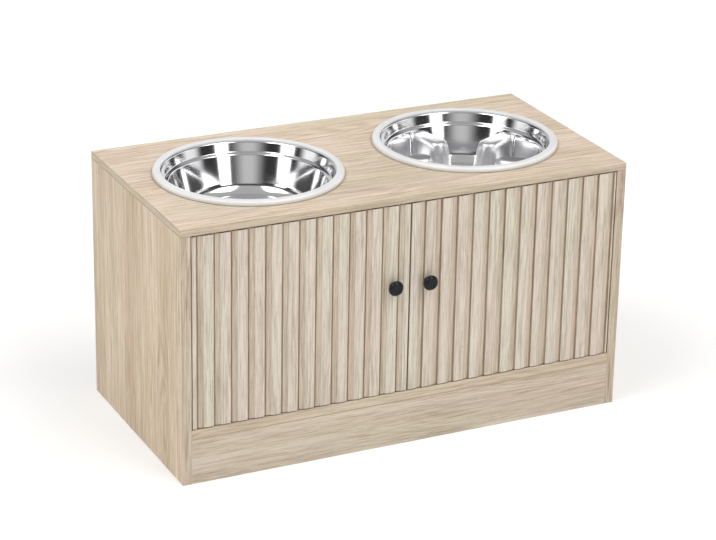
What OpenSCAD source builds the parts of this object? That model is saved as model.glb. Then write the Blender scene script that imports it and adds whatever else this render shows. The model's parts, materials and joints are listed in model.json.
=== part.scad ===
// Raised feeding station: a two-door cabinet under two lift-out steel bowls.
// X runs left to right, Y from the doors to the back, Z up from the floor. Millimetres.
// The origin is on the floor, in the middle of the whole footprint, knobs included.

/* [Cabinet] */
// Width over the two side panels
cab_w = 600; // [560:5:700]
// Depth from the door faces to the rear edges
cab_d = 300; // [280:5:360]
// Height of the top board's upper face
cab_h = 330; // [290:5:420]
// Thickness of the sides, the base board and the kick boards
board_t = 12; // [11:0.5:16]
// Thickness of the top board
top_t = 9; // [9:0.5:14]
// Height of the kick boards under the base board
kick_h = 59; // [45:1:80]
// Thickness of the back panel
back_t = 5; // [3:0.5:6]
// Depth of the grooves that hold the back panel in the sides
groove_depth = 5; // [3:0.5:6]
// Bare strip of the side panels behind the back panel
back_inset = 8; // [6:1:14]

/* [Doors] */
// Thickness of each door
door_t = 12; // [11.5:0.5:16]
// Gap round each door at the sides, top and bottom
door_gap = 1.5; // [1.5:0.1:2.5]
// Gap where the two doors meet
meet_gap = 2; // [1.5:0.1:4]
// Spacing of the flutes
flute_pitch = 22; // [20:0.5:30]
// Width of one flute, shallow band and deep slot together
flute_w = 8.8; // [7:0.2:10]
// Width of the deep slot in a flute
slot_w = 2.6; // [1.6:0.2:4]
// Depth of the shallow band
band_depth = 1.4; // [0.6:0.1:2]
// Depth of the deep slot
slot_depth = 3; // [2:0.1:3.2]
// Small bevel where a slat meets the band
slat_bevel = 0.7; // [0.2:0.1:1]
// Plain strip between the meeting edge and the left door's first flute
left_strip = 7.7; // [6:0.1:12]
// Plain strip between the meeting edge and the right door's first flute
right_strip = 10.7; // [6:0.1:12]
// Rounding of a door's upright front edges
door_round = 1; // [0.6:0.1:1.4]

/* [Knobs] */
// Diameter of a knob's head
knob_d = 20; // [16:0.5:24]
// Thickness of a knob's head
knob_head_t = 6; // [5:0.1:8]
// Width of the sloping edge round a knob's face
knob_edge = 3; // [2:0.5:4]
// How far a knob stands out of its door
knob_out = 14; // [11:0.5:20]
// Diameter of a knob's neck
knob_neck_d = 8; // [7:0.5:10]
// Distance of a knob's axis from the meeting edge
knob_in = 22.6; // [20:0.2:30]
// Height of the knobs above the middle of the doors
knob_rise = 20; // [-40:1:60]

/* [Door pivots] */
// Diameter of the steel pivot pins
pin_d = 4; // [3:0.5:5]
// Outer diameter of the nylon bushes
bush_d = 6.4; // [5.8:0.2:6.8]
// Length of a bush
bush_len = 12; // [8:1:16]
// Distance of the pivot axis from the hinge edge of a door
pivot_in = 20; // [16:0.5:26]
// Distance of the pivot axis from a door's front face
pivot_depth = 7.6; // [7.2:0.1:8]
// Running clearance between a pin and its bush, on the radius
pin_play = 0.05; // [0.02:0.01:0.1]
// Width of the collar that carries a door, beyond the pin
collar_w = 1.6; // [1:0.1:2]

/* [Magnetic catch] */
// Length of the catch housing
catch_w = 68; // [60:1:90]
// Depth of the catch housing
catch_d = 14; // [12:1:20]
// Height of the catch housing
catch_h = 14; // [14:1:18]
// Distance between the two magnets' middles
magnet_pitch = 44; // [40:1:60]
// Thickness of the strike plates
strike_t = 1.2; // [0.8:0.1:2]
// Height of the strike plates
strike_h = 10; // [8:1:10]
// Air gap between a shut strike plate and its magnet
catch_gap = 0.3; // [0.2:0.1:1]

/* [Bowls] */
// Distance between the two bowls' middles
bowl_pitch = 300; // [270:5:330]
// Inner diameter at the top of the upper wall
bowl_d = 214; // [200:1:216]
// Depth of a bowl below the top board's upper face
bowl_depth = 58; // [50:1:70]
// Thickness of the bowl's sheet steel
sheet_t = 1; // [0.8:0.1:1.5]
// How much the upper wall narrows, on the radius, down to the ledge
wall_taper = 3.5; // [1:0.5:6]
// Depth of the ledge below the top board's upper face
ledge_depth = 9.5; // [6:0.5:16]
// Width of the ledge
ledge_w = 5; // [3:0.5:8]
// How much the lower wall narrows, on the radius, down to the floor
tub_taper = 13; // [8:1:20]
// Corner radius between the lower wall and the floor
tub_round = 18; // [10:1:24]
// Width of the flange that hangs in the ring
flange_w = 7; // [5:0.5:8]
// Clearance between a bowl's wall and the cut-out in the top board, on the radius
cutout_gap = 2; // [1:0.5:3]

/* [Soft rings] */
// Outer diameter of a ring
ring_d = 237; // [232:1:244]
// Height of a ring above the top board
ring_h = 6.4; // [6:0.1:9]
// Thickness of the lip under the bowl's flange
lip_t = 2.6; // [1.6:0.1:3]
// Rounding of a ring's upper outer edge
ring_round = 3; // [1:0.1:3]

/* [Slow feeder ridges] */
// Number of ridges
ridge_n = 5; // [3:1:5]
// Direction of the first ridge
ridge_turn = 28; // [0:1:71]
// Width of a ridge at its foot
ridge_w = 40; // [36:1:42]
// How much a ridge narrows, on each side, from its foot to its crest
ridge_draft = 7; // [4:0.5:7]
// Rounding of a ridge's crest
ridge_round = 6; // [4:0.5:12]
// Rounding between a ridge's foot and the floor
foot_round = 5; // [2:0.5:6]
// Depth of the crests below the top board's upper face
crest_depth = 15; // [13:1:30]
// Distance of a ridge's round end from the bowl's middle
ridge_end = 36; // [32:1:44]

/* [Fittings] */
// Diameter of the cam locks
cam_d = 12; // [10:0.5:14]
// Thickness of the cam locks
cam_t = 9.4; // [9:0.1:9.8]
// Distance from a joint to the middle of its cam
cam_reach = 24; // [20:1:30]
// Diameter of the cam bolts
bolt_d = 5; // [4:0.5:6]
// Distance of the cam locks from the front and rear edges
cam_edge = 45; // [35:1:60]
// Diameter of the dowels
dowel_d = 6; // [5:0.5:7]
// Length of the dowels
dowel_len = 20; // [16:1:24]
// Clearance round pressed and glued fittings, on the radius
fit_gap = 0.05; // [0.02:0.01:0.1]

/* [Hidden] */

$fn = 96;
cut = 1;

// Planes of the cabinet
front_y = -(cab_d - knob_out) / 2;
back_y = front_y + cab_d;
inner_x = cab_w / 2 - board_t;
under_top = cab_h - top_t;
base_top = kick_h + board_t;
panel_back_y = back_y - back_inset;
panel_front_y = panel_back_y - back_t;
groove_slack = 0.2;
top_groove = 3;

// Cams, bolts and dowels
cam_ys = [front_y + cam_edge, back_y - cam_edge];
cam_hole_r = bolt_d / 2 + 0.2;
bolt_hole_r = bolt_d / 2 + 0.4;
bolt_end_gap = 0.4;
top_bolt_bite = 7;
side_bolt_bite = 8;
front_kick_y = front_y + board_t / 2;
rear_kick_y = panel_back_y - board_t / 2;
dowel_zs = [kick_h * 0.3, kick_h * 0.7];
dowel_in_side = dowel_len * 0.4;

// Doors
door_w = inner_x - door_gap - meet_gap / 2;
door_bottom = base_top + door_gap;
door_top = under_top - door_gap;
door_h = door_top - door_bottom;
door_back_y = front_y + door_t;
band_w = flute_w - slot_w;
knob_z = (door_bottom + door_top) / 2 + knob_rise;
knob_thread_r = 2;
knob_screw_grip = 8;
pivot_x = inner_x - door_gap - pivot_in;
pivot_y = front_y + pivot_depth;
top_pin_bite = 6;
base_pin_bite = 8;

// Catch
catch_y = door_back_y + strike_t + catch_gap;
magnet_w = 18;
magnet_d = 8;
magnet_h = 8;
strike_w = 20;
strike_z = under_top - catch_h / 2;
strike_screw_r = 1.5;
strike_screw_len = 7;
catch_screw_r = 1.6;
catch_screw_bite = 5;
catch_screw_x = (magnet_pitch - magnet_w) / 4;

// Bowls, as radii and as heights above the top board's upper face
bowl_y = (front_y + back_y) / 2;
wall_r = bowl_d / 2;
flange_r = wall_r + flange_w;
flange_z = lip_t + sheet_t;
cutout_r = wall_r + sheet_t + cutout_gap;
ring_slot_gap = 0.2;
ring_in_r = wall_r + 1.3;
lip_in_r = wall_r + sheet_t + cutout_gap * 0.75;
ridge_bed = 0.3;
foot_reach = 10;
arc_steps = 6;

// Outline of the bowl's upper surface, from the flange to the middle of the floor
bowl_path = [
  [flange_r, flange_z],
  [wall_r, flange_z],
  [wall_r - wall_taper, -ledge_depth],
  [wall_r - wall_taper - ledge_w, -ledge_depth - 0.8],
  [wall_r - wall_taper - ledge_w - tub_taper, -bowl_depth],
  [0, -bowl_depth]
];
bowl_rounds = [0, 2.5, 2, 3, tub_round, 0];

function unit(v) = v / norm(v);

// Arc that rounds corner b between a and c. The surface is moved by t into the sheet,
// which lies to the left of the path.
function rounded(a, b, c, r, t) =
  let (
    u = unit(a - b),
    v = unit(c - b),
    half = acos(u * v) / 2,
    centre = b + unit(u + v) * r / sin(half),
    first = b + u * r / tan(half) - centre,
    last = b + v * r / tan(half) - centre,
    left_turn = cross(b - a, c - b) > 0,
    radius = left_turn ? r - t : r + t,
    start = atan2(first[1], first[0]),
    sweep = (left_turn ? 1 : -1) * (180 - 2 * half),
    steps = arc_steps
  )
  [for (k = [0:steps]) centre + radius * [cos(start + sweep * k / steps), sin(start + sweep * k / steps)]];

// The whole path moved by t into the sheet, all corners rounded
function offset_path(path, rounds, t) =
  let (
    last = len(path) - 1,
    first_side = unit(path[1] - path[0]),
    last_side = unit(path[last] - path[last - 1])
  )
  concat(
    [path[0] + t * [-first_side[1], first_side[0]]],
    [for (i = [1:last - 1]) each rounded(path[i - 1], path[i], path[i + 1], rounds[i], t)],
    [path[last] + t * [-last_side[1], last_side[0]]]
  );

function reversed(list) = [for (i = [len(list) - 1:-1:0]) list[i]];

// Closed outline with every corner rounded, drawn anticlockwise
function rounded_outline(path, rounds) =
  let (n = len(path))
  [for (i = [0:n - 1])
    each rounds[i] > 0
      ? rounded(path[(i + n - 1) % n], path[i], path[(i + 1) % n], rounds[i], 0)
      : [path[i]]];

// Number of whole flutes on a door whose plain strip is s wide
function flute_count(s) = floor((door_w - s - flute_w - door_round - 0.5) / flute_pitch) + 1;

// Front line of a door, from the meeting edge outwards. The second value is the depth.
function flute_points(u) = [
  [u - slat_bevel, 0],
  [u, slat_bevel],
  [u, band_depth],
  [u + band_w, band_depth],
  [u + band_w, slot_depth],
  [u + flute_w, slot_depth],
  [u + flute_w, 0]
];

function door_outline(strip) =
  let (n = flute_count(strip))
  concat(
    rounded([0, door_t], [0, 0], [door_w, 0], door_round, 0),
    [for (k = [0:n - 1]) each flute_points(strip + k * flute_pitch)],
    rounded([0, 0], [door_w, 0], [door_w, door_t], door_round, 0),
    [[door_w, door_t], [0, door_t]]
  );

// A board given by its lower corner and its three sizes
module board(corner, size) {
  translate(corner)
    cube(size);
}

// Round peg or hole along X that starts at p
module along_x(p, r, len) {
  translate(p)
    rotate([0, 90, 0])
      cylinder(r = r, h = len);
}

// Round peg or hole along Y that starts at p
module along_y(p, r, len) {
  translate(p)
    rotate([-90, 0, 0])
      cylinder(r = r, h = len);
}

// Round peg or hole along Z that starts at p
module along_z(p, r, len) {
  translate(p)
    cylinder(r = r, h = len);
}

module both_sides() {
  children();
  mirror([1, 0, 0])
    children();
}

// Cabinet boards

module top_board() {
  color("burlywood")
    difference() {
      board([-cab_w / 2, front_y, under_top], [cab_w, cab_d, top_t]);
      both_sides() {
        along_z([bowl_pitch / 2, bowl_y, under_top - cut], cutout_r, top_t + 2 * cut);
        for (y = cam_ys)
          along_z([cab_w / 2 - board_t / 2, y, under_top - cut], bolt_d / 2 + fit_gap, top_bolt_bite + cut);
        along_z([pivot_x, pivot_y, under_top - cut], pin_d / 2 + fit_gap, top_pin_bite + cut + fit_gap);
        along_z([catch_screw_x, catch_y + catch_d / 2, under_top - cut],
          catch_screw_r + fit_gap, catch_screw_bite + cut + fit_gap);
      }
      board([-inner_x - groove_depth, panel_front_y - groove_slack, under_top - cut],
        [2 * (inner_x + groove_depth), back_t + 2 * groove_slack, cut + top_groove]);
    }
}

module side_panel() {
  color("tan")
    difference() {
      board([inner_x, front_y, 0], [board_t, cab_d, under_top]);
      board([inner_x - cut, panel_front_y - groove_slack, kick_h],
        [cut + groove_depth, back_t + 2 * groove_slack, under_top]);
      for (y = cam_ys) {
        along_x([inner_x - cut, y, under_top - cam_reach], cam_d / 2 + fit_gap, cut + cam_t + 2 * fit_gap);
        along_z([cab_w / 2 - board_t / 2, y, under_top - cam_reach], bolt_hole_r, cam_reach + cut);
        along_x([inner_x - cut, y, kick_h + board_t / 2], bolt_d / 2 + fit_gap, cut + side_bolt_bite + fit_gap);
      }
      for (y = [front_kick_y, rear_kick_y], z = dowel_zs)
        along_x([inner_x - cut, y, z], dowel_d / 2 + fit_gap, cut + dowel_in_side + 2 * fit_gap);
    }
}

module left_side() {
  mirror([1, 0, 0])
    side_panel();
}

module right_side() {
  side_panel();
}

module base_board() {
  color("burlywood")
    difference() {
      board([-inner_x, front_y, kick_h], [2 * inner_x, panel_front_y - groove_slack - front_y, board_t]);
      both_sides() {
        for (y = cam_ys) {
          along_z([inner_x - cam_reach, y, kick_h - cut], cam_d / 2 + fit_gap, cut + cam_t + 2 * fit_gap);
          along_x([inner_x - cam_reach, y, kick_h + board_t / 2], bolt_hole_r, cam_reach + cut);
        }
        along_z([pivot_x, pivot_y, base_top - base_pin_bite - fit_gap], pin_d / 2 + fit_gap, base_pin_bite + cut);
      }
    }
}

module back_panel() {
  color("tan")
    board([-inner_x - groove_depth + groove_slack, panel_front_y, kick_h],
      [2 * (inner_x + groove_depth - groove_slack), back_t, under_top + top_groove - groove_slack - kick_h]);
}

module kick_board(y) {
  color("burlywood")
    difference() {
      board([-inner_x, y - board_t / 2, 0], [2 * inner_x, board_t, kick_h]);
      both_sides()
        for (z = dowel_zs)
          along_x([inner_x - (dowel_len - dowel_in_side) - 2 * fit_gap, y, z],
            dowel_d / 2 + fit_gap, dowel_len);
    }
}

module front_kick() {
  kick_board(front_kick_y);
}

module rear_kick() {
  kick_board(rear_kick_y);
}

// Doors. Each is drawn for the right side and the left one is mirrored.

module door(strip) {
  color("wheat")
    difference() {
      translate([meet_gap / 2, front_y, door_bottom])
        linear_extrude(door_h)
          polygon(door_outline(strip));
      along_y([meet_gap / 2 + knob_in, front_y - cut, knob_z], knob_thread_r + 0.2, door_t + 2 * cut);
      along_z([pivot_x, pivot_y, door_bottom - cut], bush_d / 2 + fit_gap, bush_len + cut + fit_gap);
      along_z([pivot_x, pivot_y, door_top - bush_len - fit_gap], bush_d / 2 + fit_gap, bush_len + cut + fit_gap);
      along_y([magnet_pitch / 2, door_back_y - strike_screw_len - fit_gap, strike_z],
        strike_screw_r + fit_gap, strike_screw_len + cut);
    }
}

module left_door() {
  mirror([1, 0, 0])
    door(left_strip);
}

module right_door() {
  door(right_strip);
}

// Outline of a knob, radius first and distance from the door second
knob_path = [
  [knob_thread_r, 0],
  [knob_neck_d / 2 + 0.6, 0],
  [knob_neck_d / 2, 2],
  [knob_neck_d / 2, knob_out - knob_head_t],
  [knob_d / 2 - 0.4, knob_out - knob_head_t],
  [knob_d / 2, knob_out - 0.6 * knob_head_t],
  [knob_d / 2 - knob_edge, knob_out],
  [0, knob_out],
  [0, knob_screw_grip + 1],
  [knob_thread_r, knob_screw_grip + 1]
];
knob_rounds = [0, 0.4, 1, 1.4, 0.8, 2, 1.2, 0, 0, 0];

module knob() {
  color([0.16, 0.16, 0.17])
    translate([meet_gap / 2 + knob_in, front_y, knob_z])
      rotate([90, 0, 0])
        rotate_extrude()
          polygon(rounded_outline(knob_path, knob_rounds));
}

module left_knob() {
  mirror([1, 0, 0])
    knob();
}

module right_knob() {
  knob();
}

module knob_screw() {
  head_r = 3.8;
  head_t = 2.2;
  color("silver")
    translate([meet_gap / 2 + knob_in, door_back_y + head_t, knob_z])
      rotate([90, 0, 0])
        difference() {
          union() {
            cylinder(r = head_r, h = head_t);
            cylinder(r = knob_thread_r - fit_gap, h = head_t + door_t + knob_screw_grip);
          }
          translate([0, 0, -cut])
            cylinder(r = 1.6, h = cut + 1.2, $fn = 6);
        }
}

module left_knob_screw() {
  mirror([1, 0, 0])
    knob_screw();
}

module right_knob_screw() {
  knob_screw();
}

// Door pivots

module top_pivot() {
  color("silver")
    along_z([pivot_x, pivot_y, door_top - bush_len + 1], pin_d / 2, under_top + top_pin_bite - door_top + bush_len - 1);
}

module bottom_pivot() {
  color("silver") {
    along_z([pivot_x, pivot_y, base_top - base_pin_bite], pin_d / 2, base_pin_bite + door_gap + bush_len - 1);
    along_z([pivot_x, pivot_y, base_top], pin_d / 2 + collar_w, door_gap - pin_play);
  }
}

module bush(z) {
  color("whitesmoke")
    translate([pivot_x, pivot_y, z])
      difference() {
        cylinder(d = bush_d, h = bush_len);
        translate([0, 0, -cut])
          cylinder(r = pin_d / 2 + pin_play, h = bush_len + 2 * cut);
      }
}

module left_top_pivot() {
  mirror([1, 0, 0])
    top_pivot();
}

module left_bottom_pivot() {
  mirror([1, 0, 0])
    bottom_pivot();
}

module right_top_pivot() {
  top_pivot();
}

module right_bottom_pivot() {
  bottom_pivot();
}

module left_top_bush() {
  mirror([1, 0, 0])
    bush(door_top - bush_len);
}

module left_bottom_bush() {
  mirror([1, 0, 0])
    bush(door_bottom);
}

module right_top_bush() {
  bush(door_top - bush_len);
}

module right_bottom_bush() {
  bush(door_bottom);
}

// Magnetic catch under the top board, with one magnet for each door

module catch_housing() {
  color("whitesmoke")
    difference() {
      board([-catch_w / 2, catch_y, under_top - catch_h], [catch_w, catch_d, catch_h]);
      both_sides() {
        board([(magnet_pitch - magnet_w) / 2 - fit_gap, catch_y - cut, strike_z - magnet_h / 2 - fit_gap],
          [magnet_w + 2 * fit_gap, magnet_d + cut + fit_gap, magnet_h + 2 * fit_gap]);
        along_z([catch_screw_x, catch_y + catch_d / 2, under_top - catch_h - cut],
          catch_screw_r + 0.2, catch_h + 2 * cut);
      }
    }
}

module catch_magnets() {
  color("dimgray")
    both_sides()
      board([(magnet_pitch - magnet_w) / 2, catch_y, strike_z - magnet_h / 2], [magnet_w, magnet_d, magnet_h]);
}

module catch_screws() {
  color("silver")
    both_sides()
      along_z([catch_screw_x, catch_y + catch_d / 2, under_top - catch_h],
        catch_screw_r, catch_h + catch_screw_bite);
}

module strike() {
  color("silver")
    difference() {
      board([(magnet_pitch - strike_w) / 2, door_back_y, strike_z - strike_h / 2], [strike_w, strike_t, strike_h]);
      along_y([magnet_pitch / 2, door_back_y - cut, strike_z], strike_screw_r + 0.1, strike_t + 2 * cut);
    }
}

module strike_screw() {
  color("silver")
    along_y([magnet_pitch / 2, door_back_y - strike_screw_len, strike_z], strike_screw_r, strike_screw_len + strike_t);
}

module left_strike() {
  mirror([1, 0, 0])
    strike();
}

module right_strike() {
  strike();
}

module left_strike_screw() {
  mirror([1, 0, 0])
    strike_screw();
}

module right_strike_screw() {
  strike_screw();
}

// Bowls. They are drawn round the Z axis with the top board's upper face at zero.

// Everything inside the surface that lies t below the bowl's upper surface
module bowl_core(t) {
  rotate_extrude()
    polygon(concat(offset_path(bowl_path, bowl_rounds, t), [[0, flange_z - t]]));
}

module bowl_shell() {
  rotate_extrude()
    polygon(concat(
      reversed(offset_path(bowl_path, bowl_rounds, 0)),
      offset_path(bowl_path, bowl_rounds, sheet_t)
    ));
}

// Half section of a ridge whose surface is moved by t into the sheet
function ridge_outline(t) =
  let (path = [
    [ridge_w / 2 + foot_reach, -bowl_depth - ridge_bed],
    [ridge_w / 2, -bowl_depth - ridge_bed],
    [ridge_w / 2 - ridge_draft, -crest_depth],
    [0, -crest_depth]
  ])
  concat(
    offset_path(path, [0, foot_round, ridge_round, 0], t),
    [[0, -bowl_depth - 5], [ridge_w / 2 + foot_reach, -bowl_depth - 5]]
  );

// One ridge, from its round end out through the wall
module ridge(t) {
  translate([ridge_end + ridge_w / 2, 0, 0]) {
    rotate([0, 0, 90])
      rotate_extrude(angle = 180)
        polygon(ridge_outline(t));
    rotate([90, 0, 90])
      linear_extrude(wall_r - ridge_end - ridge_w / 2) {
        polygon(ridge_outline(t));
        mirror([1, 0])
          polygon(ridge_outline(t));
      }
  }
}

module ridges(t) {
  for (k = [0:ridge_n - 1])
    rotate(ridge_turn + k * 360 / ridge_n)
      ridge(t);
}

module plain_bowl() {
  color("lightgray")
    translate([-bowl_pitch / 2, bowl_y, cab_h])
      bowl_shell();
}

module slow_feeder_bowl() {
  color("lightgray")
    translate([bowl_pitch / 2, bowl_y, cab_h])
      difference() {
        union() {
          bowl_shell();
          intersection() {
            ridges(0);
            bowl_core(sheet_t);
          }
        }
        ridges(sheet_t);
      }
}

// Outline of a ring's section: a soft C that grips the bowl's flange
ring_path = [
  [lip_in_r, 0],
  [ring_d / 2, 0],
  [ring_d / 2, ring_h],
  [ring_in_r, ring_h],
  [ring_in_r, flange_z + ring_slot_gap],
  [flange_r + ring_slot_gap, flange_z + ring_slot_gap],
  [flange_r + ring_slot_gap, lip_t],
  [lip_in_r, lip_t]
];
ring_rounds = [0, 0.8, ring_round, 0.8, 0, 0, 0, 0];

module ring() {
  color("white")
    rotate_extrude()
      polygon(rounded_outline(ring_path, ring_rounds));
}

module plain_bowl_ring() {
  translate([-bowl_pitch / 2, bowl_y, cab_h])
    ring();
}

module slow_feeder_ring() {
  translate([bowl_pitch / 2, bowl_y, cab_h])
    ring();
}

// Hidden fittings

module top_cams() {
  color("silver")
    both_sides()
      for (y = cam_ys)
        difference() {
          along_x([inner_x + fit_gap, y, under_top - cam_reach], cam_d / 2, cam_t);
          along_z([cab_w / 2 - board_t / 2, y, under_top - cam_reach], cam_hole_r, cam_d);
        }
}

module top_cam_bolts() {
  color("gold")
    both_sides()
      for (y = cam_ys)
        along_z([cab_w / 2 - board_t / 2, y, under_top - cam_reach + bolt_end_gap], bolt_d / 2, cam_reach - bolt_end_gap + top_bolt_bite);
}

module base_cams() {
  color("silver")
    both_sides()
      for (y = cam_ys)
        difference() {
          along_z([inner_x - cam_reach, y, kick_h + fit_gap], cam_d / 2, cam_t);
          along_x([inner_x - cam_reach, y, kick_h + board_t / 2], cam_hole_r, cam_d);
        }
}

module base_cam_bolts() {
  color("gold")
    both_sides()
      for (y = cam_ys)
        along_x([inner_x - cam_reach + bolt_end_gap, y, kick_h + board_t / 2], bolt_d / 2, cam_reach - bolt_end_gap + side_bolt_bite);
}

module kick_dowels(y) {
  color("wheat")
    both_sides()
      for (z = dowel_zs)
        along_x([inner_x - dowel_len + dowel_in_side, y, z], dowel_d / 2, dowel_len);
}

module front_dowels() {
  kick_dowels(front_kick_y);
}

module rear_dowels() {
  kick_dowels(rear_kick_y);
}

top_board();
left_side();
right_side();
base_board();
back_panel();
front_kick();
rear_kick();
left_door();
right_door();
left_knob();
right_knob();
left_knob_screw();
right_knob_screw();
left_top_pivot();
left_bottom_pivot();
right_top_pivot();
right_bottom_pivot();
left_top_bush();
left_bottom_bush();
right_top_bush();
right_bottom_bush();
catch_housing();
catch_magnets();
catch_screws();
left_strike();
right_strike();
left_strike_screw();
right_strike_screw();
plain_bowl();
plain_bowl_ring();
slow_feeder_bowl();
slow_feeder_ring();
top_cams();
top_cam_bolts();
base_cams();
base_cam_bolts();
front_dowels();
rear_dowels();
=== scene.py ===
# %% [markdown]
# # A raised feeding station in oak laminate
# A low cabinet carries two steel bowls in soft rings, and two fluted doors close the store below.
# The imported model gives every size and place. This lesson gives each part the surface and the
# eased edges that the real one has, and remodels the turned parts with smooth round forms.

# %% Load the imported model
import json
import math
import bpy
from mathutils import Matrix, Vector


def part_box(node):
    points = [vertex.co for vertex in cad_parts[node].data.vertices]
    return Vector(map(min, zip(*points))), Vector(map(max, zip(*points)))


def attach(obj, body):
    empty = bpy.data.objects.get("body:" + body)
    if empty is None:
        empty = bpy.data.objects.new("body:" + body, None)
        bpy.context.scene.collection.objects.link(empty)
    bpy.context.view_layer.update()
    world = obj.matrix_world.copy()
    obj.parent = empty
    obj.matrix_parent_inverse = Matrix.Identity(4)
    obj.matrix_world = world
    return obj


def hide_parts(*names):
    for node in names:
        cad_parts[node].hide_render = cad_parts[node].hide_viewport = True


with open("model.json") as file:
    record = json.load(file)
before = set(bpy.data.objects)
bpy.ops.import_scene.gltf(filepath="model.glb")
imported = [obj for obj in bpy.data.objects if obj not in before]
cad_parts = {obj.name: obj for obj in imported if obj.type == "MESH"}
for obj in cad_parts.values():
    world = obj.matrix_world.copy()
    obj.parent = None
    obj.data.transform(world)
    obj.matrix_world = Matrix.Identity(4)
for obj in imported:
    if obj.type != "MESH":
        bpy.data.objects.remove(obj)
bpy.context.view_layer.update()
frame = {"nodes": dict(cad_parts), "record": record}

nodes_of_body = frame["record"]["behaviour"]["bodies"]
body_of_node = {node: body for body, nodes in nodes_of_body.items() for node in nodes}
slot_of_node = {part["node"]: part["material_slot"] for part in frame["record"]["subparts"]}

# %% [markdown]
# ## The camera
# The object is seen from its front left, a little from above. A long lens keeps the uprights
# nearly parallel, as a product photograph does. A Track To constraint could aim the camera, but
# it leaves no roll, so yaw, pitch and roll are set as angles. The lens follows from the focal
# length in pixels and the picture's width, so that width is named here once.

# %% Set the camera
picture_width = 716
focal_pixels = 2563
sensor_mm = 36
camera_place = Vector((-1.3248, -2.7148, 1.4098))
camera_yaw = math.radians(25.99)
camera_pitch = math.radians(22.16)
camera_roll = math.radians(1.07)

camera = bpy.data.objects.new("camera", bpy.data.cameras.new("camera"))
bpy.context.scene.collection.objects.link(camera)
camera.data.sensor_width = sensor_mm
camera.data.lens = focal_pixels / picture_width * sensor_mm
camera.location = camera_place
camera.rotation_mode = "XYZ"
camera.rotation_euler = (math.pi / 2 - camera_pitch, 0, -camera_yaw)
camera.rotation_euler.rotate_axis("Z", camera_roll)
bpy.context.scene.camera = camera
print("lens:", round(camera.data.lens, 1), "mm")

# %% [markdown]
# ## Shader maths
# A finish is a small sum of patterns, and a sum reads best as a sum. The nodes could be added and
# linked one by one, but a recipe then takes pages. `Shade` wraps one output of a node and turns
# +, - and * into Math nodes. Three methods cover the rest: `between` cuts a pattern softly, `mix`
# lays one colour over another, and `tint` multiplies two.

# %% Wrap a socket
class Shade:
    """One output of a node, usable in expressions."""

    def __init__(self, finish, socket):
        self.finish = finish
        self.socket = socket

    def math(self, operation, *others):
        inputs = dict(enumerate((self, *others)))
        return self.finish.add("ShaderNodeMath", {"operation": operation}, inputs)

    def __add__(self, other):
        return self.math("ADD", other)

    def __mul__(self, other):
        return self.math("MULTIPLY", other)

    def __sub__(self, other):
        return self.math("SUBTRACT", other)

    def __rsub__(self, other):
        return self.math("MULTIPLY_ADD", -1.0, other)

    __radd__ = __add__
    __rmul__ = __mul__

    def between(self, low, high):
        """0 below low, 1 above high and a smooth step between them."""
        return self.finish.add(
            "ShaderNodeMapRange",
            {"interpolation_type": "SMOOTHSTEP"},
            {"Value": self, "From Min": low, "From Max": high},
        )

    def mix(self, first, second, blend="MIX"):
        """The first colour where this is 0, blended with the second where it is 1."""
        return self.finish.add(
            "ShaderNodeMix",
            {"data_type": "RGBA", "blend_type": blend},
            {"Factor": self, 6: first, 7: second},
            output=2,
        )

    def tint(self, colour, by):
        """The colour, multiplied by another one where this is 1."""
        return self.mix(colour, by, "MULTIPLY")


print("sockets add, subtract and multiply")

# %% [markdown]
# ## Materials as recipes
# `Finish` holds one material. A node group for each pattern would work too, but a method call says
# the same in one line. Its `add` takes a node's type, its settings and the values or links of its
# sockets, and a colour of three parts gets its alpha there.

# %% Wrap a material
class Finish:
    """A material with its Principled shader and short ways to add nodes."""

    def __init__(self, name, **constants):
        self.material = bpy.data.materials.new(name)
        self.material.use_nodes = True
        self.tree = self.material.node_tree
        self.shader = self.tree.nodes["Principled BSDF"]
        for socket, value in constants.items():
            self.shader.inputs[socket.replace("_", " ")].default_value = value

    def add(self, kind, settings, inputs, output=0):
        """A node with its settings, then its inputs. Returns one of its outputs."""
        node = self.tree.nodes.new(kind)
        for key, value in settings.items():
            setattr(node, key, value)
        for key, value in inputs.items():
            if isinstance(value, Shade):
                self.tree.links.new(value.socket, node.inputs[key])
            elif isinstance(value, tuple) and len(value) == 3 and node.inputs[key].type == "RGBA":
                node.inputs[key].default_value = (*value, 1.0)
            else:
                node.inputs[key].default_value = value
        return Shade(self, node.outputs[output])

    def split(self, vector):
        """The X, Y and Z of a vector."""
        return [self.add("ShaderNodeSeparateXYZ", {}, {0: vector}, output=axis) for axis in "XYZ"]

    def place(self):
        """The three Object coordinates, in metres."""
        return self.split(self.add("ShaderNodeTexCoord", {}, {}, output="Object"))

    def vector(self, x, y, z):
        return self.add("ShaderNodeCombineXYZ", {}, {"X": x, "Y": y, "Z": z})

    def noise(self, vector, scale=1.0, detail=2.0, roughness=0.5):
        settings = {"Vector": vector, "Scale": scale, "Detail": detail, "Roughness": roughness}
        return self.add("ShaderNodeTexNoise", {}, settings)

    def feed(self, socket, value):
        self.tree.links.new(value.socket, self.shader.inputs[socket])

    def bump(self, height, strength, distance):
        inputs = {"Height": height, "Strength": strength, "Distance": distance}
        self.feed("Normal", self.add("ShaderNodeBump", {}, inputs))


print("materials take patterns by name")

# %% [markdown]
# ## Noise along the grain
# Everything in wood's pattern is long in one direction. A Mapping node could stretch each noise,
# but the grain wanders, and all the noises have to bend with it. So one helper takes coordinates
# that are bent already, and the cycles per metre along and across the grain.

# %% Stretch a noise
def stretched(finish, point, along, across, detail=1.0, roughness=0.5, shift=0.0):
    """Noise drawn out along the grain, with its cycles per metre along and across it."""
    run, side, beside = point
    place = finish.vector(run * along, side * across, beside * across + shift)
    return finish.noise(place, detail=detail, roughness=roughness)


print("noise can follow the grain")

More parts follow.
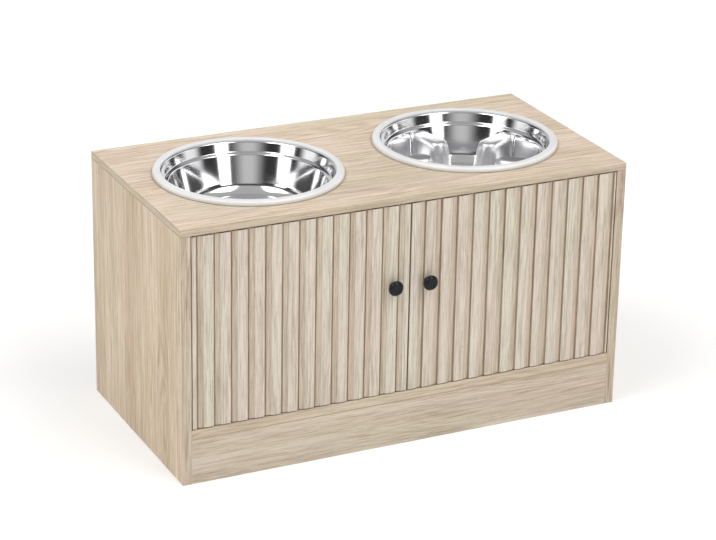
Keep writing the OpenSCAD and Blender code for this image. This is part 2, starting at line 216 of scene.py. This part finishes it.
# %% [markdown]
# ## Oak laminate
# The boards wear a printed light oak. A Wave texture could draw the year lines, but its bands are
# too even. Here they are contours of a field that drifts slowly along the grain, so some run
# straight and some close into flames, as flat-sawn oak's do. Fine fibres, short dark pores and a
# slow change of tone are noises stretched along the grain. An edge band runs along its edge, so
# where a face looks along the grain the pattern is turned. The dowels' bare beech is the same
# recipe in its own tones.

# %% Draw the oak
lines_per_metre = 115.0
lines_of_drift = 34.0
wander_width = 0.008
year_weight = 0.26
fibre_weight = 0.52
strand_weight = 0.28
pore_weight = 0.30
rosy_tint = (1.0, 0.972, 0.980)
olive_tint = (0.978, 0.988, 0.950)


def oak(name, grain, light, middle, dark, figure=1.0):
    """Oak laminate whose grain runs along X or Z. Returns the finish and its colour."""
    finish = Finish(name, Specular_IOR_Level=0.32)
    x, y, z = finish.place()
    normal = finish.add("ShaderNodeNewGeometry", {}, {}, output="Normal")
    facing = finish.add("ShaderNodeSeparateXYZ", {}, {0: normal}, output=grain)
    on_band = facing.math("ABSOLUTE").math("GREATER_THAN", 0.7)
    along, beside = (x, z) if grain == "X" else (z, x)
    run = along + (y - along) * on_band
    side = y + (along - y) * on_band

    wander = (stretched(finish, (run, side, beside), 6, 24) - 0.5) * wander_width
    side = side + wander
    beside = beside + wander
    point = (run, side, beside)
    drift = stretched(finish, point, 1.6, 8, detail=2.0)
    streaks = stretched(finish, point, 4, 200, detail=3.0)
    strands = stretched(finish, point, 9, 380, detail=2.0)
    fibres = stretched(finish, point, 20, 700, detail=3.0, roughness=0.65)
    pores = stretched(finish, point, 70, 1500)
    tone = stretched(finish, point, 1.2, 42, detail=3.0)
    patch = stretched(finish, point, 5, 14)
    blush = stretched(finish, point, 3.5, 20, shift=5.0)

    field = side * lines_per_metre + beside * lines_per_metre + drift * lines_of_drift
    lines = (field * math.tau).math("SINE").between(-0.6, 1.0)
    year = lines * patch.between(0.40, 0.70)
    pore = pores.between(0.58, 0.72)
    fibre = fibres.between(0.38, 0.64) * (0.35 + streaks.between(0.25, 0.60) * 0.65)
    strand = strands.between(0.50, 0.66)
    shade = tone.between(0.30, 0.70) * 0.7 + streaks.between(0.35, 0.65) * 0.3
    ground = (0.5 + (shade - 0.5) * figure).mix(light, middle)
    drawn = year * (year_weight * figure) + fibre * fibre_weight
    marks = drawn + strand * strand_weight + pore * pore_weight
    rosy = blush.between(0.45, 0.70).tint(marks.mix(ground, dark), rosy_tint)
    colour = (1.0 - blush.between(0.30, 0.55)).tint(rosy, olive_tint)
    finish.feed("Base Color", colour)
    finish.feed("Roughness", 0.50 + year * 0.06 + pore * 0.10)
    finish.bump(1.0 - pore * 0.6 - strand * 0.4, 0.22, 0.0002)
    return finish, colour


beech, colour = oak(
    "beech",
    grain="X",
    light=(0.70, 0.52, 0.35),
    middle=(0.62, 0.44, 0.28),
    dark=(0.45, 0.30, 0.18),
)
print("first wood:", beech.material.name)

# %% [markdown]
# ## Boards of several batches
# No two boards of a flat pack match. The kick boards are pinker than the base board's edge above them, the
# bands on the sides' front edges are greyer, and a fine dark line shows where two boards meet. The flat
# oak's upright faces are also multiplied darker than its top, as painted shade. Each could be a material of
# its own, but the boards of one slot share a finish, so a tint is laid by place: masks on Object
# coordinates and on the normals multiply the oak's colour.

# %% Make the board finishes
seam_colour = (0.430, 0.330, 0.230)
seam_half = (0.0003, 0.0011)
kick_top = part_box("front_kick")[1].z
top_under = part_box("top_board")[0].z
side_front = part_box("left_side")[0].y


def upward(finish):
    """1 on faces that look straight up or down, 0 on upright ones."""
    normal = finish.add("ShaderNodeNewGeometry", {}, {}, output="True Normal")
    return finish.add("ShaderNodeSeparateXYZ", {}, {0: normal}, output="Z").math("ABSOLUTE")


def seamed(finish, colour, level):
    """The fine dark line where two boards meet at a level."""
    above = finish.place()[2] - level
    return (1.0 - above.math("ABSOLUTE").between(*seam_half)).mix(colour, seam_colour)


def upright_tone_and_shade(finish, colour, kick, band, calm, calm_share):
    """Upright faces are calmer and multiplied darker than the top as painted shade: kick tone at the foot,
    band tone above, and the two tones also differ as two batches.
    """
    above = finish.place()[2] - kick_top
    # painted shade, partly a batch tone: upright faces are multiplied darker than the top
    batch = above.between(-0.0002, 0.0002).mix(kick, band)
    upright = 1.0 - upward(finish).between(0.3, 0.7)
    return upright.tint((upright * calm_share).mix(colour, calm), batch)


def edge_banded(finish, colour, band):
    """The bands on the sides' front edges are of another batch."""
    behind = finish.place()[1] - side_front
    return (1.0 - behind.between(0.0004, 0.0010)).tint(colour, band)


flat, colour = oak(
    "oak_flat",
    grain="X",
    light=(0.894, 0.774, 0.637),
    middle=(0.764, 0.636, 0.492),
    dark=(0.415, 0.310, 0.200),
    figure=0.9,
)
# painted shade: the flat oak's upright faces are multiplied to about 0.79, kick tone below and band tone
# above
colour = upright_tone_and_shade(
    flat,
    colour,
    kick=(0.778, 0.792, 0.794),
    band=(0.790, 0.795, 0.755),
    calm=(0.775, 0.651, 0.512),
    calm_share=0.12,
)
flat.feed("Base Color", seamed(flat, seamed(flat, colour, kick_top), top_under))

upright, colour = oak(
    "oak_upright",
    grain="Z",
    light=(0.800, 0.670, 0.515),
    middle=(0.645, 0.515, 0.365),
    dark=(0.380, 0.270, 0.165),
    figure=1.3,
)
colour = edge_banded(upright, colour, band=(0.875, 0.900, 0.965))
upright.feed("Base Color", seamed(upright, colour, top_under))
print("board finishes:", flat.material.name, upright.material.name)

# %% [markdown]
# ## Routed doors
# The doors' laminate is paler and calmer, and a router has cut it into slats, with a shallow band and a
# narrow deep slot between each two. The cuts are painted darker, the slot most of all, as painted shade in
# the recesses. Normals can't tell the band's floor from the slat's face, but the depth below the door's
# front can. The faces that look up or down, the doors' top and bottom edges, are darkened as painted shade
# for the gaps above and below the doors. The backs have no cuts, so near the full thickness the plain oak
# comes back.

# %% Make the door finish
band_depth = (0.0005, 0.0012)
slot_depth = (0.0010, 0.0020)
back_depth = (0.0006, 0.0002)
slats_per_metre = 48.0
slat_tint = (1.0, 0.972, 0.975)


def routed(finish, colour, groove_shade, slot, edge):
    """The doors' colour: below the slats' faces lies the band, and deeper still the slot, both darkened as
    painted shade. The top and bottom edges are darkened as painted shade for the gaps.
    """
    front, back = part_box("left_door")
    thick = back.y - front.y
    x, y, z = finish.place()
    depth = y - front.y
    slat = finish.noise(finish.vector(x * slats_per_metre, 0.0, z * 1.2), detail=0.0)
    varied = slat.between(0.40, 0.60).tint(colour, slat_tint)
    # painted shade: the band and, deeper, the slot are multiplied darker
    band_shaded = depth.between(*band_depth).tint(varied, groove_shade)
    slot_shaded = depth.between(*slot_depth).tint(band_shaded, slot)
    # painted shade: faces that look up or down are darkened for the gaps above and below the doors
    gap_shaded = upward(finish).between(0.6, 0.9).tint(slot_shaded, edge)
    return depth.between(thick - back_depth[0], thick - back_depth[1]).mix(gap_shaded, colour)


slats, colour = oak(
    "oak_slats",
    grain="Z",
    light=(0.780, 0.720, 0.622),
    middle=(0.700, 0.632, 0.526),
    dark=(0.390, 0.325, 0.245),
    figure=0.36,
)
# painted shade: the groove and slot tints darken the cuts, and the edge tint darkens the top and bottom
# edges for the gaps
colour = routed(
    slats,
    colour,
    groove_shade=(0.96, 0.93, 0.89),
    slot=(0.79, 0.74, 0.67),
    edge=(0.38, 0.38, 0.40),
)
slats.feed("Base Color", colour)
print("door finish:", slats.material.name)

# %% [markdown]
# ## Polished and plated metal
# The bowls are polished sheet, so their look is what they mirror. A perfect mirror would look
# drawn, so faint turned lines and a trace of haze break it. Drawing a ridge up dulls the polish,
# and an attribute on the mesh, `raised`, says how far each point was drawn. Plated fittings use
# the same recipe with more haze, and have no such attribute, which then reads as 0.

# %% Make the metals
def turned_metal(name, colour, roughness, haze, line_scale, satin=0.0):
    """Turned sheet or pins. What a press has raised is duller by the amount of satin."""
    finish = Finish(name, Metallic=1.0)
    x, y, z = finish.place()
    cloud = finish.noise(finish.vector(x, y, z), scale=35.0, detail=3.0)
    hair = finish.noise(finish.vector(x * 40.0, y * 40.0, z * line_scale), detail=2.0)
    finish.feed("Base Color", cloud.mix(colour, tuple(c * 0.94 for c in colour)))
    raised = finish.add("ShaderNodeAttribute", {"attribute_name": "raised"}, {}, output="Fac")
    dull = raised.between(0.001, 0.008) * satin
    finish.feed("Roughness", roughness + dull + (cloud - 0.5) * haze + (hair - 0.5) * haze)
    finish.bump(hair, 0.04, 0.0001)
    return finish.material


bowl_steel = turned_metal("bowl_steel", (0.82, 0.82, 0.83), 0.10, 0.05, 900.0, satin=0.26)
steel = turned_metal("steel", (0.62, 0.62, 0.63), 0.32, 0.16, 400.0)
zinc = turned_metal("zinc", (0.66, 0.66, 0.68), 0.42, 0.20, 300.0)
print("metals:", bowl_steel.name, steel.name, zinc.name)

# %% [markdown]
# ## Silicone, powder coat and nylon
# Moulded and coated parts have one even colour, but never one flat value: the skin has a fine grain, and
# the gloss changes a little from place to place. The rings are white silicone. Their colour fades to grey
# towards the board, as painted shade where they tuck under to it. The knobs have a satin powder coat with a
# skin like an orange's.

# %% Make the moulded finishes
def moulded(name, colour, roughness, grain_scale, grain_depth, gloss=0.5):
    """Plastic, rubber or powder coat. Returns the finish and its colour."""
    finish = Finish(name, Specular_IOR_Level=gloss)
    x, y, z = finish.place()
    place = finish.vector(x, y, z)
    skin = finish.noise(place, scale=grain_scale, detail=2.0)
    cloud = finish.noise(place, scale=18.0, detail=2.0)
    colour = cloud.between(0.3, 0.7).mix(colour, tuple(c * 0.93 for c in colour))
    finish.feed("Base Color", colour)
    finish.feed("Roughness", roughness + (skin - 0.5) * 0.10 + (cloud - 0.5) * 0.08)
    finish.bump(skin, 0.20, grain_depth)
    return finish, colour


knob_black = moulded("knob_black", (0.007, 0.008, 0.010), 0.26, 1400.0, 0.0001, gloss=0.25)[0]
nylon = moulded("nylon", (0.80, 0.80, 0.78), 0.45, 700.0, 0.0001)[0]
magnet = moulded("magnet", (0.05, 0.05, 0.055), 0.55, 500.0, 0.0002)[0]

# painted shade: the rings' colour greys towards the board, where they tuck under
ring_foot_shade = (0.50, 0.52, 0.53)
ring_shade_fade = (-0.001, 0.0042)
ring, ring_white = moulded("ring_silicone", (0.88, 0.88, 0.875), 0.30, 900.0, 0.0001)
above_board = ring.place()[2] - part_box("plain_bowl_ring")[0].z
ring.feed("Base Color", above_board.between(*ring_shade_fade).mix(ring_foot_shade, ring_white))
print("moulded:", knob_black.material.name, nylon.material.name, ring.material.name)

# %% [markdown]
# ## Finishes on their nodes
# The record names a slot for each node, and one table names the finish of each slot. Pins, screws
# and strike plates are zinc plated, the cams are cast zinc, the bushes and the catch housing are
# nylon, the magnets are dark ferrite and the dowels are bare beech. They show when a door stands
# open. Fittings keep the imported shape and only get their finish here.

# %% Assign the finishes
finish_of_slot = {
    "oak_flat": flat.material,
    "oak_upright": upright.material,
    "oak_slats": slats.material,
    "beech": beech.material,
    "bowl_steel": bowl_steel,
    "ring_silicone": ring.material,
    "knob_black": knob_black.material,
    "steel": steel,
    "nylon": nylon.material,
    "magnet": magnet.material,
    "zinc": zinc,
}
for node, obj in frame["nodes"].items():
    for material_slot in obj.material_slots:
        material_slot.material = finish_of_slot[slot_of_node[node]]
print("finishes on", len(frame["nodes"]), "nodes")

# %% [markdown]
# ## Working with operators
# An operator acts as a hand does in Blender's window: on what is selected and active. Meshes can
# also be changed as plain data, but then no step can be repeated by hand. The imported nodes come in
# selected, so everything is let go before each piece. A finished piece takes over the finish, the
# slot and the body of the node that it stands for.

# %% Prepare the operators
def start_clean():
    """Nothing selected, so that the next operator acts only on what is added."""
    bpy.ops.object.select_all(action="DESELECT")


def make_active(piece):
    start_clean()
    piece.select_set(True)
    bpy.context.view_layer.objects.active = piece


def apply_modifier(piece, kind, name, **settings):
    make_active(piece)
    modifier = piece.modifiers.new(name, kind)
    for key, value in settings.items():
        setattr(modifier, key, value)
    bpy.ops.object.modifier_apply(modifier=name)


def belongs(piece, node):
    """The piece stands for the node: same body, same slot, same finish."""
    piece.data.materials.clear()
    piece.data.materials.append(finish_of_slot[slot_of_node[node]])
    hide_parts(node)
    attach(piece, body_of_node[node])


print("selected by the load:", len(bpy.context.selected_objects))

# %% [markdown]
# ## Boards and doors
# A board from a factory has no knife edges: the band is trimmed to a small round. Boxes could be
# added and bevelled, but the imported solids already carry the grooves, cut-outs and drilled holes,
# so each board starts as a merged copy of its solid. Flat regions are dissolved to clean faces,
# and a Bevel on the sharp edges eases them. The doors' flutes get a finer round than the boards.

# %% Ease the boards and doors
merge_distance = 0.00001
flat_angle = math.radians(0.6)
sharp_angle = math.radians(38)
board_ease = 0.0006
door_ease = 0.0004


def eased_copy(node, ease):
    piece = bpy.data.objects.new("eased_" + node, frame["nodes"][node].data.copy())
    bpy.context.scene.collection.objects.link(piece)
    make_active(piece)
    bpy.ops.mesh.customdata_custom_splitnormals_clear()
    bpy.ops.object.mode_set(mode="EDIT")
    bpy.ops.mesh.select_all(action="SELECT")
    bpy.ops.mesh.remove_doubles(threshold=merge_distance)
    bpy.ops.mesh.dissolve_limited(angle_limit=flat_angle)
    bpy.ops.object.mode_set(mode="OBJECT")
    apply_modifier(
        piece, "BEVEL", "ease", width=ease, segments=2, limit_method="ANGLE", angle_limit=sharp_angle
    )
    bpy.ops.object.shade_smooth_by_angle(angle=sharp_angle)
    belongs(piece, node)
    print(piece.name, len(piece.data.polygons), "faces")


for node in ["top_board", "left_side", "right_side", "base_board", "back_panel", "front_kick", "rear_kick"]:
    eased_copy(node, board_ease)
for node in ["left_door", "right_door", "catch_housing", "left_strike", "right_strike"]:
    eased_copy(node, door_ease)

# %% [markdown]
# ## Turning by extrusion
# Spin and the Screw modifier both turn an outline, but leave a seam to merge. Here a lathe part is
# a circle that is extruded from station to station, each with its radius and height, so it has
# no seam. Corners of the outline are given a radius and become short arcs of stations. A shell
# ends in a pole at its middle, and a solid ring closes on itself with a bridge.

# %% Round an outline's corners
arc_stations = 6


def rounded(outline, radii):
    """Stations along an outline whose corners are rounded by arcs."""
    stations = [outline[0]]
    for before, corner, after, radius in zip(outline, outline[1:], outline[2:], radii[1:]):
        corner = Vector(corner)
        u = (Vector(before) - corner).normalized()
        v = (Vector(after) - corner).normalized()
        if radius == 0:
            stations.append(tuple(corner))
            continue
        half = u.angle(v) / 2
        centre = corner + (u + v).normalized() * radius / math.sin(half)
        first = corner + u * radius / math.tan(half) - centre
        last = corner + v * radius / math.tan(half) - centre
        turn = first.angle_signed(last)
        for step in range(arc_stations + 1):
            angle = -turn * step / arc_stations
            cos = math.cos(angle)
            sin = math.sin(angle)
            arc_x = first.x * cos - first.y * sin
            arc_y = first.x * sin + first.y * cos
            stations.append((centre.x + arc_x, centre.y + arc_y))
    stations.append(outline[-1])
    return stations


print("an arc has", arc_stations + 1, "stations")

# %% [markdown]
# ## From stations to a turned piece
# Each step extrudes the last circle straight up or down and then scales it about its own centre.
# A station of radius 0 merges the circle into one point, which closes the pole. The normals are
# made consistent here, before a shell gets its thickness, because on a closed wall it is too late.

# %% Turn a piece through its stations
def turned(name, centre, stations, segments, closed):
    """A turned piece through the stations, each a radius and a height above the centre."""
    start_clean()
    radius, height = stations[0]
    bpy.ops.mesh.primitive_circle_add(
        vertices=segments, radius=radius, location=(0, 0, height), fill_type="NOTHING"
    )
    piece = bpy.context.object
    piece.name = piece.data.name = name
    bpy.ops.object.transform_apply()
    bpy.ops.object.mode_set(mode="EDIT")
    bpy.ops.mesh.select_all(action="SELECT")
    for next_radius, next_height in stations[1:]:
        bpy.ops.mesh.extrude_edges_move(
            TRANSFORM_OT_translate={"value": (0, 0, next_height - height)}
        )
        if next_radius > 0:
            ratio = next_radius / radius
            bpy.ops.transform.resize(value=(ratio, ratio, 1), center_override=(0, 0, next_height))
            radius = next_radius
        else:
            bpy.ops.mesh.merge(type="CENTER")
        height = next_height
    if closed:
        bpy.ops.mesh.select_all(action="SELECT")
        bpy.ops.mesh.region_to_loop()
        bpy.ops.mesh.bridge_edge_loops()
    bpy.ops.mesh.select_all(action="SELECT")
    bpy.ops.mesh.normals_make_consistent(inside=False)
    bpy.ops.object.mode_set(mode="OBJECT")
    piece.location = centre
    bpy.ops.object.transform_apply()
    bpy.ops.object.shade_smooth_by_angle(angle=sharp_angle)
    return piece


print("turning helpers ready")

# %% [markdown]
# ## Rings
# The ring is a soft C in section: it lies on the board and grips the bowl's flange. A torus would
# be quicker, but it has no flat foot and no lip. The outline goes from the foot over the crown,
# down to the flange, round its edge and back under it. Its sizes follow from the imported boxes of
# the ring and the bowl, and heights count from the board's top.

# %% Turn the rings
round_segments = 160
sheet = 0.001
grip = 0.0002
ring_low, ring_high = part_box("plain_bowl_ring")
bowl_low, bowl_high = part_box("plain_bowl")
board_top = ring_low.z
ring_radius = (ring_high.x - ring_low.x) / 2
ring_height = ring_high.z - board_top
flange_radius = (bowl_high.x - bowl_low.x) / 2
flange_height = bowl_high.z - board_top
lip = flange_height - sheet
wall_radius = flange_radius - 0.007
foot_radius = wall_radius + 0.0025
mouth_radius = wall_radius + 0.0013

ring_outline = [
    (foot_radius, 0.0),
    (ring_radius, 0.0),
    (ring_radius, ring_height),
    (mouth_radius, ring_height),
    (mouth_radius, flange_height + grip),
    (flange_radius + grip, flange_height + grip),
    (flange_radius + grip, lip),
    (foot_radius, lip),
]
ring_radii = [0, 0.0014, 0.0030, 0.0008, 0, 0, 0, 0]


def middle_of(node):
    low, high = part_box(node)
    return Vector(((low.x + high.x) / 2, (low.y + high.y) / 2, board_top))


for node in ["plain_bowl_ring", "slow_feeder_ring"]:
    stations = rounded(ring_outline, ring_radii)
    soft_ring = turned("soft_" + node, middle_of(node), stations, round_segments, closed=True)
    belongs(soft_ring, node)
    print(soft_ring.name, len(soft_ring.data.polygons), "faces")

# %% [markdown]
# ## The plain bowl
# The bowl is one sheet with an upper wall, a narrow ledge, a lower wall and a floor. Turning both
# faces would need two outlines that match. So only the upper surface is turned, and Solidify then
# gives it the sheet's thickness on the under side.

# %% Turn the plain bowl
bowl_depth = board_top - bowl_low.z - sheet
ledge_top = -0.0095
ledge_foot = -0.0103
bowl_outline = [
    (flange_radius, flange_height),
    (wall_radius, flange_height),
    (wall_radius - 0.0035, ledge_top),
    (wall_radius - 0.0085, ledge_foot),
    (wall_radius - 0.0215, -bowl_depth),
    (0.0, -bowl_depth),
]
bowl_radii = [0, 0.0025, 0.0020, 0.0030, 0.0180, 0]
bowl_stations = rounded(bowl_outline, bowl_radii)


def give_thickness(piece):
    apply_modifier(piece, "SOLIDIFY", "sheet", thickness=sheet, offset=-1.0)
    bpy.ops.object.shade_smooth_by_angle(angle=sharp_angle)


plain_middle = middle_of("plain_bowl")
plain_bowl = turned("polished_plain_bowl", plain_middle, bowl_stations, round_segments, closed=False)
give_thickness(plain_bowl)
belongs(plain_bowl, "plain_bowl")
print(plain_bowl.name, len(plain_bowl.data.polygons), "faces, depth", round(bowl_depth, 4))

# %% [markdown]
# ## Stamping the slow feeder
# The slow feeder starts as the same turned bowl, but with closely spaced stations. A press then
# raises five ridges from the floor and wall. A Boolean would leave sharp feet and walls that
# cross. Pressing is a height rule instead: each point rises to the ridge above it, and a smooth
# maximum rounds the foot, as sheet steel does over a die.

# %% Describe the ridges
ridge_count = 5
ridge_turn = math.radians(28)
ridge_half = 0.020
ridge_draft = 0.007
ridge_round = 0.006
crest_depth = 0.015
ridge_start = 0.056
foot_blend = 0.0016
no_ridge = -1.0
least_width = 1e-9

ridge_section = rounded(
    [(ridge_half, -bowl_depth), (ridge_half - ridge_draft, -crest_depth), (0.0, -crest_depth)],
    [0, ridge_round, 0],
)


def ridge_height(distance):
    """Height of a ridge's surface at a distance from its axis."""
    for (r1, z1), (r2, z2) in zip(ridge_section, ridge_section[1:]):
        if r2 <= distance <= r1:
            return z1 + (z2 - z1) * (r1 - distance) / max(r1 - r2, least_width)
    slope = (bowl_depth - crest_depth) / ridge_draft
    return -bowl_depth - (distance - ridge_half) * slope


def stamped_height(x, y, z):
    """Smooth maximum of the turned surface and the ridges."""
    best = no_ridge
    for number in range(ridge_count):
        angle = ridge_turn + number * math.tau / ridge_count
        run = x * math.cos(angle) + y * math.sin(angle)
        side = -x * math.sin(angle) + y * math.cos(angle)
        distance = abs(side) if run > ridge_start else math.hypot(run - ridge_start, side)
        best = max(best, ridge_height(distance))
    gap = abs(best - z)
    extra = max(foot_blend - gap, 0.0) ** 2 / (4 * foot_blend)
    return max(best, z) + extra


print("ridge height:", round(bowl_depth - crest_depth, 4))

# %% [markdown]
# ## The press stroke
# The stations are first set closer, so that the mesh has points enough to bend. Each point then
# moves straight up to the stamped height. The `raised` attribute keeps how far it went, for the
# satin of the drawn steel, and a Smooth modifier relaxes the stamped region alone.

# %% Stamp the ridges
stamp_segments = 300
station_gap = 0.0013
drawn_below_ledge = 0.002


def spaced(stations, gap):
    """Extra stations, so that none is further than gap from the next."""
    result = [stations[0]]
    for a, b in zip(stations, stations[1:]):
        steps = max(1, math.ceil(math.dist(a, b) / gap))
        for step in range(1, steps + 1):
            share = step / steps
            result.append((a[0] + (b[0] - a[0]) * share, a[1] + (b[1] - a[1]) * share))
    return result


slow_middle = middle_of("slow_feeder_bowl")
slow_stations = spaced(bowl_stations, station_gap)
slow_bowl = turned("polished_slow_feeder", slow_middle, slow_stations, stamp_segments, closed=False)
stamp_top = board_top + ledge_foot
raised = slow_bowl.data.attributes.new("raised", "FLOAT", "POINT")
for vert in slow_bowl.data.vertices:
    if vert.co.z < stamp_top:
        local = vert.co - slow_middle
        vert.co.z = board_top + stamped_height(local.x, local.y, local.z)
        raised.data[vert.index].value = vert.co.z - board_top - local.z
drawn = [vert.index for vert in slow_bowl.data.vertices if vert.co.z < stamp_top - drawn_below_ledge]
slow_bowl.vertex_groups.new(name="stamped").add(drawn, 1.0, "REPLACE")
apply_modifier(slow_bowl, "SMOOTH", "draw", factor=0.5, iterations=10, vertex_group="stamped")
give_thickness(slow_bowl)
belongs(slow_bowl, "slow_feeder_bowl")
print(slow_bowl.name, len(slow_bowl.data.polygons), "faces")

# %% [markdown]
# ## Knobs
# Each knob is a round head with a sloping edge, on a short neck that flares where it meets the
# door. It could be turned in place about a level axis, but stations are easier to read as heights,
# so it is turned about the upright axis first and then laid down. Its open foot is filled with
# one face.

# %% Turn the knobs
knob_segments = 64
neck_foot = 0.0046
neck = 0.0040
flare = 0.0020
head_thick = 0.006
head_slope = 0.003
head_undercut = 0.0004


def select_foot(piece):
    """Selects in edit mode the vertices at the foot alone."""
    bpy.ops.mesh.select_all(action="DESELECT")
    bpy.ops.object.mode_set(mode="OBJECT")
    for vert in piece.data.vertices:
        vert.select = vert.co.z < merge_distance
    bpy.ops.object.mode_set(mode="EDIT")


for node in ["left_knob", "right_knob"]:
    low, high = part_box(node)
    out = high.y - low.y
    head = (high.x - low.x) / 2
    outline = [
        (neck_foot, 0.0),
        (neck, flare),
        (neck, out - head_thick),
        (head - head_undercut, out - head_thick),
        (head, out - 0.6 * head_thick),
        (head - head_slope, out),
        (head * 0.5, out),
        (0.0, out),
    ]
    radii = [0, 0.0010, 0.0014, 0.0008, 0.0020, 0.0012, 0, 0]
    stations = rounded(outline, radii)
    knob = turned("coated_" + node, Vector((0, 0, 0)), stations, knob_segments, closed=False)
    make_active(knob)
    bpy.ops.object.mode_set(mode="EDIT")
    select_foot(knob)
    bpy.ops.mesh.edge_face_add()
    bpy.ops.mesh.select_all(action="SELECT")
    bpy.ops.mesh.normals_make_consistent(inside=False)
    bpy.ops.object.mode_set(mode="OBJECT")
    knob.rotation_euler = (math.pi / 2, 0, 0)
    knob.location = ((low.x + high.x) / 2, high.y, (low.z + high.z) / 2)
    bpy.ops.object.transform_apply()
    bpy.ops.object.shade_smooth_by_angle(angle=sharp_angle)
    belongs(knob, node)
    print(knob.name, len(knob.data.polygons), "faces")

# %% [markdown]
# ## The floor
# A product picture has a floor that melts into its backdrop. A shadow catcher works only with a
# transparent film, and a scene that leaves the render settings alone can't count on one. So a pale
# plane runs far past the picture. It glows a little, which keeps the shadows on it faint.

# %% Lay the floor
floor_size = 30
floor_grey = 0.62
floor_glow = 0.42

start_clean()
bpy.ops.mesh.primitive_plane_add(size=floor_size, location=(0, 0, 0))
floor = bpy.context.object
floor.name = "floor"
floor_finish = Finish("pale_floor", Roughness=0.9, Specular_IOR_Level=0.1)
floor_finish.shader.inputs["Base Color"].default_value = (floor_grey, floor_grey, floor_grey, 1)
floor_finish.shader.inputs["Emission Color"].default_value = (1, 1, 1, 1)
floor_finish.shader.inputs["Emission Strength"].default_value = floor_glow
floor.data.materials.append(floor_finish.material)
print("floor:", floor_size, "m wide")

# %% [markdown]
# ## The studio
# Round the object stands a dark wall with upright panels: a grey one behind the camera, a bright
# soft box on each side of it, and dimmer ones further round. Two long lamps hang overhead, left and
# right of the camera. Area lights could do this, but they are small, so most of a polished bowl
# would mirror black. A world that is bright by direction surrounds it instead. The oak only sees
# the sum of it, but the bowls show each panel.

# %% Surround the object
class Studio(Finish):
    """The world round the object, with the same helpers as a finish."""

    def __init__(self, name):
        self.world = bpy.data.worlds.new(name)
        self.world.use_nodes = True
        self.tree = self.world.node_tree
        self.shader = self.tree.nodes["Background"]


studio = Studio("studio")
bpy.context.scene.world = studio.world
dx, dy, dz = studio.split(studio.add("ShaderNodeTexCoord", {}, {}, output="Generated"))
to_camera = Vector((camera_place.x, camera_place.y)).normalized()
ahead = dx * to_camera.x + dy * to_camera.y
right = dx * -to_camera.y + dy * to_camera.x
bearing = right.math("ARCTAN2", ahead) * math.degrees(1)
print("world:", studio.world.name)

# %% [markdown]
# ## Panels and lamps
# A bearing counts in degrees to the right of the line that runs from the object to the camera. A
# panel is a range of bearings with soft edges, and its foot is cut off at a height. Each could be
# a Gradient with a ramp, but a sum of masks says its place and width in plain numbers. The lamps
# are masks on the direction too, high up and ahead of the object.

# %% Light the studio
def panel(middle, half, soft, light):
    """A bright upright panel at a bearing, with its half width and soft edges in degrees."""
    away = (bearing - middle).math("ABSOLUTE")
    return (1.0 - away.between(half - soft, half + soft)) * light


grey_panel = panel(3, half=16, soft=13, light=0.58)
right_box = panel(39.5, half=8.5, soft=2, light=3.2)
left_box = panel(-51.5, half=9.5, soft=2, light=2.8)
far_right = panel(125, half=30, soft=12, light=1.2)
far_left = panel(-160, half=34, soft=12, light=0.7)
low_left = panel(-87, half=12, soft=7, light=1.1)
low_right = panel(87, half=12, soft=7, light=0.95)

wall_glow = 0.035
middle_glow = 0.08
ceiling_glow = 0.40
lamp_glow = 4.8
tall_panels = (grey_panel + right_box + left_box + far_right + far_left) * dz.between(0.12, 0.17)
low_panels = (low_left + low_right) * dz.between(0.02, 0.07)
wall = low_panels + tall_panels + wall_glow
across = right.math("ABSOLUTE")
lamp_sides = across.between(0.26, 0.34) * (1.0 - across.between(0.60, 0.72))
lamps = lamp_sides * ahead.between(-0.02, 0.06)
above_wall = (middle_glow - wall) * dz.between(0.38, 0.50)
ceiling = (ceiling_glow + lamps * lamp_glow) * dz.between(0.60, 0.68)
brightness = wall + above_wall + ceiling
studio.feed("Color", studio.vector(brightness, brightness, brightness))
print("studio lit with 7 panels and 2 lamps")

# %% [markdown]
# ## The view
# The Standard view shows colours as they are set, without a film curve.

# %% Set the view
bpy.context.scene.view_settings.view_transform = "Standard"
